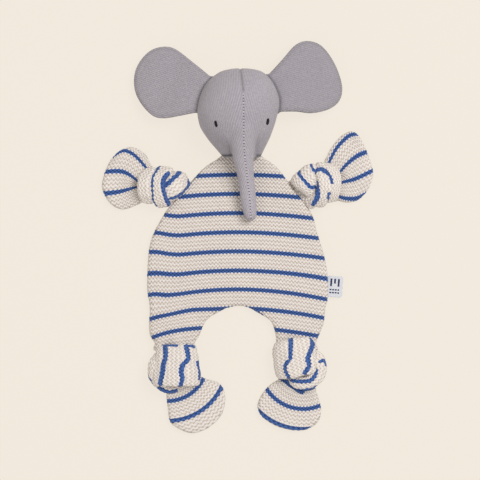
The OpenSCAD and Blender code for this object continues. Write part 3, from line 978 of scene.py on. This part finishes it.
def left_leg():
    body = "left_leg"
    strand = lobe("left_leg_strand", body,
                  [(-53, -86, 4.6, 15, 3.6), (-51, -96, 4.8, 14, 3.8), (-49, -110, 4.8, 13, 3.8),
                   (-45, -123, 4.4, 15, 3.4), (-42, -131, 3.8, 17, 2.8)], (-50, -108, -60), False)
    lobe("left_leg_side_fold", body,
         [(-63, -99, 8.5, 6.0, 5.5), (-66.6, -106, 9.4, 7.8, 6.8), (-67.8, -113, 9.2, 8.4, 7.2),
          (-67, -119, 8.4, 7.2, 6.6), (-64, -124, 7, 6, 5.6)], (-60, -112, -8), False,
         marks=[(0.9, [(-76, -118), (-74.3, -121), (-72.7, -125.4), (-68.4, -127.4),
                       (-65, -126.4)])],
         repeat_at=30)
    lobe("left_leg_low_fold", body,
         [(-69, -120.6, 6.4, 5, 4.4), (-63.2, -125.2, 7.2, 5.6, 5.2), (-56.6, -127, 7.4, 5.6, 5.2),
          (-49, -125.5, 7.0, 5, 4.6)], (-59, -122, -20), True,
         marks=[(1.7, [(-66.4, -127.6), (-62.4, -130.8), (-57, -131.8), (-52.6, -130.8)])],
         repeat_at=20)
    lobe("left_leg_wrap", body,
         [(-37.2, -109, 10, 17, 5.2), (-42.5, -108.4, 16.4, 17.6, 5), (-52, -108.4, 18.0, 17.8, 5),
          (-61.5, -108.6, 16.4, 17.6, 5), (-66.6, -109, 10.4, 17, 5.2), (-61, -109, 5.6, 16.4, 4.8),
          (-51.5, -109, 5.2, 16.4, 4.8), (-42.5, -109, 5.4, 16.4, 4.8)], (-51.5, -109, 10.4), False,
         marks=[(1.9, [(-61.7, -89), (-60.9, -101), (-62.9, -108.6), (-65.2, -123.6)]),
                (1.8, [(-43.2, -92.6), (-42.0, -98), (-42.2, -103.4), (-45.9, -107.6),
                       (-47.6, -113.6), (-46.8, -119.4), (-48.6, -126.4)]),
                (1.0, [(-33.6, -106), (-32.6, -113), (-31.8, -120)]),
                (0.7, [(-62, -91.8), (-51, -91.4)]), (0.7, [(-41, -92), (-37, -93)])],
         repeat_at=5, closed=True, shape=3.0, flare=0.005)
    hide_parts("left_leg_knot")


def right_leg():
    body = "right_leg"
    strand = lobe("right_leg_strand", body,
                  [(50, -84, 4.6, 15, 3.6), (50, -96, 4.8, 14, 3.8), (52, -110, 4.8, 13, 3.8),
                   (51, -121, 4.4, 15, 3.4), (48, -130, 3.8, 17, 2.8)], (50, -106, -60), False,
                  marks=[RIGHT_FOOT_TOP])
    lobe("right_leg_low_fold", body,
         [(63, -98, 8, 5, 5), (67.6, -104, 9.4, 6.4, 6.6), (69, -111, 10.4, 6.4, 7),
          (66.8, -117.4, 10.8, 6.4, 7), (60, -122.6, 10.8, 6.6, 7), (53, -122.6, 9.8, 6.2, 6.4),
          (45.4, -118.6, 7.6, 5.2, 5.4)], (56, -108, -30), True,
         marks=[(1.5, [(66.9, -112.6), (65.9, -117.4), (61.2, -121.2), (53.6, -122.5),
                       (46.6, -121.4)]),
                (1.1, [(70.0, -105.4), (72.6, -104.2), (75.4, -108.4)]),
                (1.6, [(68.4, -126.8), (64, -128.8), (58.5, -130.0), (51.6, -130.4)])],
         repeat_at=12)
    lobe("right_leg_wrap", body,
         [(63.2, -100, 10.2, 15, 5.2), (58.2, -100.4, 16.6, 15.8, 5), (49.6, -101.6, 18.2, 16.6, 5),
          (41.4, -103.4, 16.6, 16.6, 5), (35.7, -104.4, 10.2, 16, 5.2), (41, -103, 5.6, 15.6, 4.8),
          (50, -102, 5.2, 15.6, 4.8), (58.6, -101, 5.4, 15.4, 4.8)], (50, -102, 10.4), False,
         marks=[(1.7, [(45.0, -85), (45.0, -101.2)]),
                (1.5, [(43.2, -104.4), (40.9, -108.6), (41.0, -113.4), (43.4, -118.6)]),
                (1.8, [(62.9, -85), (63.7, -91.3), (61.4, -97.6), (59.7, -103.2), (60.8, -108.4),
                       (57.2, -114.4)])],
         repeat_at=5, closed=True, shape=3.0, flare=0.004)
    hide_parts("right_leg_knot")


left_arm()
right_arm()
left_leg()
right_leg()


# ---------------------------------------------------------------- head and trunk

# Rings of the head from the neck to the crown: Y, left and right edge, lowest and highest Z
HEAD_RINGS = [
    (67.6, -11.0, 18.6, 4.0, 22.0), (68.8, -13.0, 20.0, 3.2, 25.2), (74, -17.4, 22.6, 2.8, 29.6),
    (79, -21.7, 25.3, 2.4, 33.8), (84.1, -25.8, 27.7, 2.0, 38.2), (89.2, -29.3, 29.7, 1.4, 42.2),
    (94.3, -31.9, 31.4, 0.9, 45.6), (99.5, -33.3, 33.0, 0.4, 48.0), (104.5, -33.9, 34.4, 0.2, 49.4),
    (110, -33.7, 35.6, 0.1, 50.0), (117.4, -32.2, 35.5, 0.6, 49.6), (123.6, -29.9, 33.6, 2.2, 48.0),
    (130, -26.4, 30.6, 5.2, 45.0), (136.1, -20.6, 26.2, 10.2, 40.2),
    (140.2, -14.2, 20.8, 14.8, 35.4), (142.0, -7.6, 13.8, 19.0, 31.0),
    (142.9, -0.6, 5.6, 23.2, 26.8)
]
RING_Y, RING_LEFT, RING_RIGHT, RING_LOW, RING_HIGH = np.array(HEAD_RINGS).T
# Balls along the trunk, from inside the face to the tip: X, Y, Z and radius
TRUNK_BALLS = [
    (4.4, 94, 33.9, 12.6), (4.4, 87, 31.2, 12.2), (4.5, 80, 29.3, 11.2), (4.8, 73, 26.6, 9.8),
    (5.3, 65.5, 24.0, 8.6), (6.4, 57, 21.4, 7.6), (7.6, 48, 18.8, 7.0), (8.8, 38, 16.9, 6.9),
    (9.7, 28, 15.7, 6.4), (10.7, 21.4, 15.0, 5.8), (11.3, 19.0, 14.8, 5.2)
]

# The trunk's outline where it leaves the face: middle and half width at each Y
ROOT_Y = [61.5, 69, 76, 84.5, 90]
ROOT_MIDDLE = [4.9, 4.8, 4.6, 3.4, 3.6]
ROOT_HALF = [8.2, 9.6, 10.9, 14.2, 17.2]
# X of the face's middle line at places from the trunk's tip to the crown
MIDDLE_Y = [14, 20, 35, 50, 67.5, 80, 117, 126, 143]
MIDDLE_X = [11.8, 11.2, 10.2, 8.4, 6.3, 5.4, 5.1, 4.7, 2.3]
# How far the wales lean away from the middle line at places along it
LEAN_Y = [14, 64, 74, 92, 117, 132, 143]
LEAN = [0.6, 0.6, 0.5, 0.35, 0.3, 0.2, 0.1]
# Y where the seam's stitches end and the plain crown seam begins, and Y of the neck seam
CROWN_Y = 121
NECK_SEAM_Y = 69.3


def swept(bm, rings):
    """Joins rings of points into a closed skin."""
    made = [[bm.verts.new(tuple(p)) for p in ring] for ring in rings]
    count = len(made[0])
    for a, b in zip(made[:-1], made[1:]):
        for k in range(count):
            bm.faces.new((a[k], a[(k + 1) % count], b[(k + 1) % count], b[k]))
    bm.faces.new(list(reversed(made[0])))
    bm.faces.new(made[-1])


def head_shape():
    """A mesh in metres that joins the head's rings and the trunk's balls into one skin."""
    bm = bmesh.new()
    around = np.linspace(0, 2 * math.pi, 96, endpoint=False)
    rings = []
    for y, left, right, low, high in smooth_curve(HEAD_RINGS, 6, closed=False):
        x = (left + right) / 2 + (right - left) / 2 * np.cos(around)
        z = (low + high) / 2 + (high - low) / 2 * np.sin(around)
        rings.append(np.column_stack([x, np.full(len(x), y), z]))
    swept(bm, rings)
    for x, y, z, r in smooth_curve(TRUNK_BALLS, 10, closed=False):
        made = bmesh.ops.create_uvsphere(bm, u_segments=28, v_segments=14, radius=r)
        bmesh.ops.translate(bm, verts=made["verts"], vec=(x, y, z))
    bmesh.ops.recalc_face_normals(bm, faces=bm.faces)
    mesh = bpy.data.meshes.new("head_shape")
    bm.to_mesh(mesh)
    bm.free()
    mesh.transform(((MM, 0, 0, 0), (0, MM, 0, 0), (0, 0, MM, 0), (0, 0, 0, 1)))
    return mesh


def make_head():
    head = bpy.data.objects.new("head_cover", head_shape())
    bpy.context.scene.collection.objects.link(head)
    remesh = head.modifiers.new("remesh", "REMESH")
    remesh.mode = "VOXEL"
    remesh.voxel_size = 0.95 * MM
    apply_modifiers(head)
    verts = vectors_of(head.data, "co") / MM
    links = edge_pairs(head.data)
    # Melt the trunk's root into the face, and take the steps out of the rest
    near = (bell(np.maximum(np.abs(verts[:, 1] - 85) - 10, 0), 7)
            * bell(np.maximum(np.abs(verts[:, 0] - 5) - 15, 0), 6))
    near *= ramp(verts[:, 2], 14, 26)
    everywhere = np.full(len(verts), 0.5)
    verts = relaxed(verts, links, everywhere, 5)
    verts = relaxed(verts, links, 0.5 * near, 14)
    verts = relaxed(verts, links, everywhere, 3)
    place_points(head.data, verts)
    sew_head(head.data, verts)
    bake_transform(head)
    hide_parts("head_front_left", "head_front_right", "head_back", "head_filling",
                "trunk_cover", "trunk_filling", "crown_seam_thread", "neck_seam_thread")


def apply_modifiers(piece):
    bpy.context.view_layer.update()
    graph = bpy.context.evaluated_depsgraph_get()
    made = bpy.data.meshes.new_from_object(piece.evaluated_get(graph))
    piece.modifiers.clear()
    piece.data = made


def vectors_of(mesh, name):
    """The co or normal of each point."""
    flat = np.empty(len(mesh.vertices) * 3)
    mesh.vertices.foreach_get(name, flat)
    return flat.reshape(-1, 3)


def place_points(mesh, verts):
    mesh.vertices.foreach_set("co", (verts * MM).ravel())
    mesh.update()


def edge_pairs(mesh):
    flat = np.empty(len(mesh.edges) * 2, int)
    mesh.edges.foreach_get("vertices", flat)
    return flat.reshape(-1, 2)


def relaxed(verts, links, share, rounds):
    """Moves each point a share of the way to the middle of its neighbours, many times."""
    count = np.bincount(links.ravel(), minlength=len(verts)).astype(float)
    for _ in range(rounds):
        total = np.zeros_like(verts)
        for k in range(3):
            total[:, k] = (np.bincount(links[:, 0], verts[links[:, 1], k], len(verts))
                           + np.bincount(links[:, 1], verts[links[:, 0], k], len(verts)))
        verts = verts + share[:, None] * (total / count[:, None] - verts)
    return verts


def head_top(y):
    """Height of the skin along the middle of the face and the trunk."""
    # The last ball only ends the table, inside the head
    balls = np.array(TRUNK_BALLS + [(0, 116, 10, 0)])
    balls = balls[np.argsort(balls[:, 1])]
    trunk_top = np.interp(y, balls[:, 1], balls[:, 2] + balls[:, 3])
    return np.maximum(np.interp(y, RING_Y, RING_HIGH, left=0), trunk_top)


def sew_head(mesh, verts):
    """Seams, soft dents, painted light and shade, and the coordinates of the head's knit."""
    x, y, z = verts.T
    off = x - np.interp(y, MIDDLE_Y, MIDDLE_X)
    front = ramp(z, 14, 22)
    crown_seam = bell(off, 0.9) * ramp(y, CROWN_Y - 0.5, CROWN_Y + 3) * front
    # How far a point is outside the trunk's edge, where the trunk leaves the face
    beside = np.abs(x - np.interp(y, ROOT_Y, ROOT_MIDDLE)) - np.interp(y, ROOT_Y, ROOT_HALF)
    at_root = ramp(y, 67, 70) * ramp(-y, -92, -76)
    crease = at_root * bell(beside - 0.3, 1.3) * front
    soft = waves(verts, 22, SEED + 21)
    fine = waves(verts, 7, SEED + 22)
    move = -0.8 * crown_seam - 0.7 * crease + 0.35 * soft + 0.08 * fine

    # Painted shade on the cheeks beside the trunk's root, darker on the left
    cheek_painted_shade = at_root * ramp(beside, -1.0, 0.5) * bell(np.maximum(beside, 0), 6)
    on_trunk = np.abs(off) < 10
    under_trunk = on_trunk & (z > 17)
    # Painted shade in a dark line round the neck, where the head overhangs the body, darker on the
    # left
    neck_painted_shade = bell(y - NECK_SEAM_Y, 1.1) * (z < 28) * np.where(under_trunk, 0, 1)
    # Painted light: the trunk is made lighter than the face, fading in from Y 88 down to Y 72
    shade = 1 + 0.11 * ramp(-y, -88, -72) * on_trunk
    shade *= (1 - np.where(x < 4, 0.75, 0.6) * neck_painted_shade) * (1 - 0.35 * crown_seam)
    shade *= 1 - np.where(x < 4, 0.22, 0.14) * cheek_painted_shade
    verts = verts + vectors_of(mesh, "normal") * move[:, None]
    verts[:, 2] = np.maximum(verts[:, 2], LOWEST)
    place_points(mesh, verts)
    dress(mesh, head_knit(y, z, off), JERSEY)
    store_shade(mesh, shade)


def head_knit(y, z, off):
    """u across the wales, which run away from the middle line towards the neck and more so
    down the trunk, v along them, and the distance from the seam down the face."""
    level = np.linspace(10, 146, 300)
    drift = np.cumsum(np.interp(level, LEAN_Y, LEAN)) * (level[1] - level[0])
    below = head_top(y) - z
    u = np.abs(off) + 0.4 * np.maximum(below, 0) + np.interp(y, level, drift)
    from_seam = np.where((below < 9) & (y < CROWN_Y), off, NONE_NEAR)
    return np.column_stack([u, y, from_seam])


make_head()


# ---------------------------------------------------------------- ears

# The ears' outlines as they look from above: out from the root, and across
LEFT_EAR = [
    (-6, -15), (0, -17.2), (17, -23.4), (35.4, -29.2), (46.6, -27.4), (55.6, -20.3), (60.6, -8),
    (60.4, 4.6), (55, 16.8), (45.2, 25.6), (33.6, 30.8), (24, 29.6), (13, 24), (0, 16.7), (-6, 15)
]
RIGHT_EAR = [
    (-6, -15), (0, -16.7), (12, -20.2), (24, -25), (39, -26), (50, -22), (56, -12), (56.6, 4),
    (53.6, 19.6), (47.8, 30), (38, 35.2), (27.6, 34), (13, 25.2), (0, 17.6), (-6, 15)
]
# Degrees that the ears droop from the head to their tips, and the step of their mesh
EAR_DROOP = 19.5
EAR_STEP = (0.9, 0.9)


def make_ear(side, points, root, direction, cloth):
    """A flat ear that droops from its root, with painted shade in a dark line where it meets the
    head.
    """
    droop = math.radians(EAR_DROOP)
    outline = smooth_curve([(0.985 * x / math.cos(droop), y) for x, y in points], 8)
    plan, quads, u, v, depth, edge = flat_shape(
        outline, (-12, 72), (-36, 42), EAR_STEP, lambda u, v: (u, v))
    low = waves(np.column_stack([plan, 0 * u]), 24, SEED + 31)
    fold = 0.5 * bell(depth - 2.2, 0.55)
    half = 1.0 + 1.1 * rolled(depth, 5)
    lift = (0.9 * low * rolled(depth, 12)
            + 1.6 * bell(plan[:, 1], 22) * np.clip(plan[:, 0] / 60, 0, 1))
    top = half * rolled(depth + 0.1, 1.9) - fold + lift
    bottom = -half * rolled(depth + 0.1, 1.9) + fold + lift
    knit = np.column_stack([v, u, np.full(len(u), NONE_NEAR)])
    verts, faces, knit = two_sheets(plan, quads, knit, edge, top, bottom)
    out, rise = rotated(verts[:, 0], verts[:, 2], -EAR_DROOP)
    x, y = rotated(out, verts[:, 1], direction)
    placed = np.column_stack([root[0] + x, root[1] + y, np.maximum(root[2] + rise, LOWEST)])
    if side == "left":
        from_head = np.interp(placed[:, 1], RING_Y, RING_LEFT) - placed[:, 0]
    else:
        from_head = placed[:, 0] - np.interp(placed[:, 1], RING_Y, RING_RIGHT)
    piece = to_object(f"{side}_ear", placed, faces, knit, cloth)
    rim = bell(np.concatenate([depth, depth[~edge]]) - 2.2, 0.6)
    # Painted shade in a dark line where the ear meets the head; the rim's seam shows as a fainter
    # dark line
    store_shade(piece.data, (1 - 0.45 * bell(0.8 * from_head - 0.4, 1.2)) * (1 - 0.10 * rim))
    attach(piece, f"{side}_ear")
    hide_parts(f"{side}_ear_front", f"{side}_ear_back", f"{side}_ear_thread")


make_ear("left", LEFT_EAR, (-29.9, 120.9, 24.6), 160.4, LEFT_EAR_JERSEY_PAINTED_SHADE)
make_ear("right", RIGHT_EAR, (32.7, 122.1, 24.6), 17.3, RIGHT_EAR_JERSEY_PAINTED_SHADE)


# ---------------------------------------------------------------- eyes and label

def face_z(x, y):
    """Height of the face's skin at a place in plan."""
    left, right, low, high = (np.interp(y, RING_Y, column)
                              for column in (RING_LEFT, RING_RIGHT, RING_LOW, RING_HIGH))
    across = (x - (left + right) / 2) / ((right - left) / 2)
    middle = (low + high) / 2
    return middle + (high - middle) * np.sqrt(np.clip(1 - across ** 2, 0, 1))


def make_eye(side, lean):
    """A satin-stitched oval: threads lie across it side by side."""
    low, high = node_box(f"{side}_eye")
    centre = (low + high) / 2
    rows, columns = 26, 16
    tall, wide, proud = 2.8, 1.15, 0.75
    verts, knit = [], []
    for i in range(rows + 1):
        t = math.sin(0.5 * math.pi * (-1 + 2 * i / rows))
        ring = math.sqrt(max(1 - abs(t) ** 3, 0.0004))
        for j in range(columns):
            angle = 2 * math.pi * j / columns
            x, y = wide * ring * math.cos(angle), tall * t
            verts.append((x, y, proud * ring * math.sin(angle)))
            knit.append((y, x, 0))
    verts = np.array(verts)
    x, y = rotated(verts[:, 0], verts[:, 1], lean)
    x, y = centre[0] + x, centre[1] + y
    placed = np.column_stack([x, y, face_z(x, y) + verts[:, 2] + 0.1])
    faces = ring_faces(rows + 1, columns, closed=False)
    piece = to_object(f"{side}_eye_stitches", placed, faces, knit, EYE_THREAD)
    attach(piece, "head")
    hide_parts(f"{side}_eye")


make_eye("left", 15)
make_eye("right", -10)


# X of the label's sewn edge, just inside the body's, how far above the middle of its CAD
# box it sits, and its turn in degrees
LABEL_X = 76.3
LABEL_UP = 1.0
LABEL_TURN = -4
LABEL_WIDE = 13.4
LABEL_TALL = 18.0
LABEL_HALF_THICK = 0.17
LABEL_CORNER = 1.6
LABEL_THREAD = 0.35
# The bars of the printed mark: place across the label, lower and upper end along it
LABEL_BARS = [(3.4, 0.2, 6.8), (6.6, 2.6, 6.8), (9.8, 0.2, 6.8)]
LABEL_DASH_ROWS = [-2.7, -5.2]


def label_material():
    """Off-white satin weave with a plain printed mark: three bars over two rows of dashes."""
    material, tree, shader = new_material("label_satin")
    u, v, _ = knit_fields(tree)
    turns = 2 * math.pi / LABEL_THREAD
    weave = (u * turns).cos() * (v * turns).cos()
    marks = [(u - place).abs().below(0.80) * (v - (low + high) / 2).abs().below((high - low) / 2)
             for place, low, high in LABEL_BARS]
    marks += [(v - row).abs().below(0.62) * (u / 2.3).fract().below(0.74)
              * (u - 6.4).abs().below(4.2) for row in LABEL_DASH_ROWS]
    ink = marks[0]
    for mark in marks[1:]:
        ink = ink + mark
    colour = mix_colours(tree, ink.clip(), LABEL, NAVY)
    tree.links.new(shaded(tree, colour, weave * 0.02 + 0.98), shader.inputs["Base Color"])
    connect_bump(tree, shader, weave, 0.00002)
    shader.inputs["Roughness"].default_value = 0.6
    return material


def make_label():
    """A thin slab that waves a little, with its free corners rounded."""
    columns, rows = 30, 36
    verts, knit = [], []
    for side in (1, -1):
        for i in range(rows + 1):
            for j in range(columns + 1):
                u, v = LABEL_WIDE * j / columns, LABEL_TALL * (i / rows - 0.5)
                if u > LABEL_WIDE - LABEL_CORNER:
                    past = max(0.0, abs(v) - (LABEL_TALL / 2 - LABEL_CORNER))
                    trim = LABEL_CORNER - math.sqrt(max(LABEL_CORNER ** 2 - past ** 2, 0))
                    u -= trim * (j / columns) ** 6
                lift = 0.5 * math.sin(v / 7) * (u / LABEL_WIDE) ** 2 + 0.25 * math.sin(u / 3)
                verts.append((u, v, lift + side * LABEL_HALF_THICK))
                knit.append((u, v, 0))
    verts = np.array(verts)
    x, y = rotated(verts[:, 0], verts[:, 1], LABEL_TURN)
    low, high = node_box("side_label")
    middle_y = (low[1] + high[1]) / 2 + LABEL_UP
    placed = np.column_stack([LABEL_X + x, middle_y + y, SEAM_Z + verts[:, 2]])
    piece = to_object("label", placed, slab_faces(columns, rows), knit, label_material())
    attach(piece, "belly")
    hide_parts("side_label")


def slab_faces(columns, rows):
    """Quads of a front grid, a back grid that follows it in the list of points, and the rim
    between them."""
    index = np.arange((rows + 1) * (columns + 1)).reshape(rows + 1, columns + 1)
    front = grid_quads(index)
    back = (front + index.size)[:, ::-1]
    rim = np.concatenate([index[0], index[1:, -1], index[-1, -2::-1], index[-2:0:-1, 0]])
    after = np.roll(rim, -1)
    sides = np.column_stack([after, rim, rim + index.size, after + index.size])
    return np.vstack([front, back, sides])


make_label()
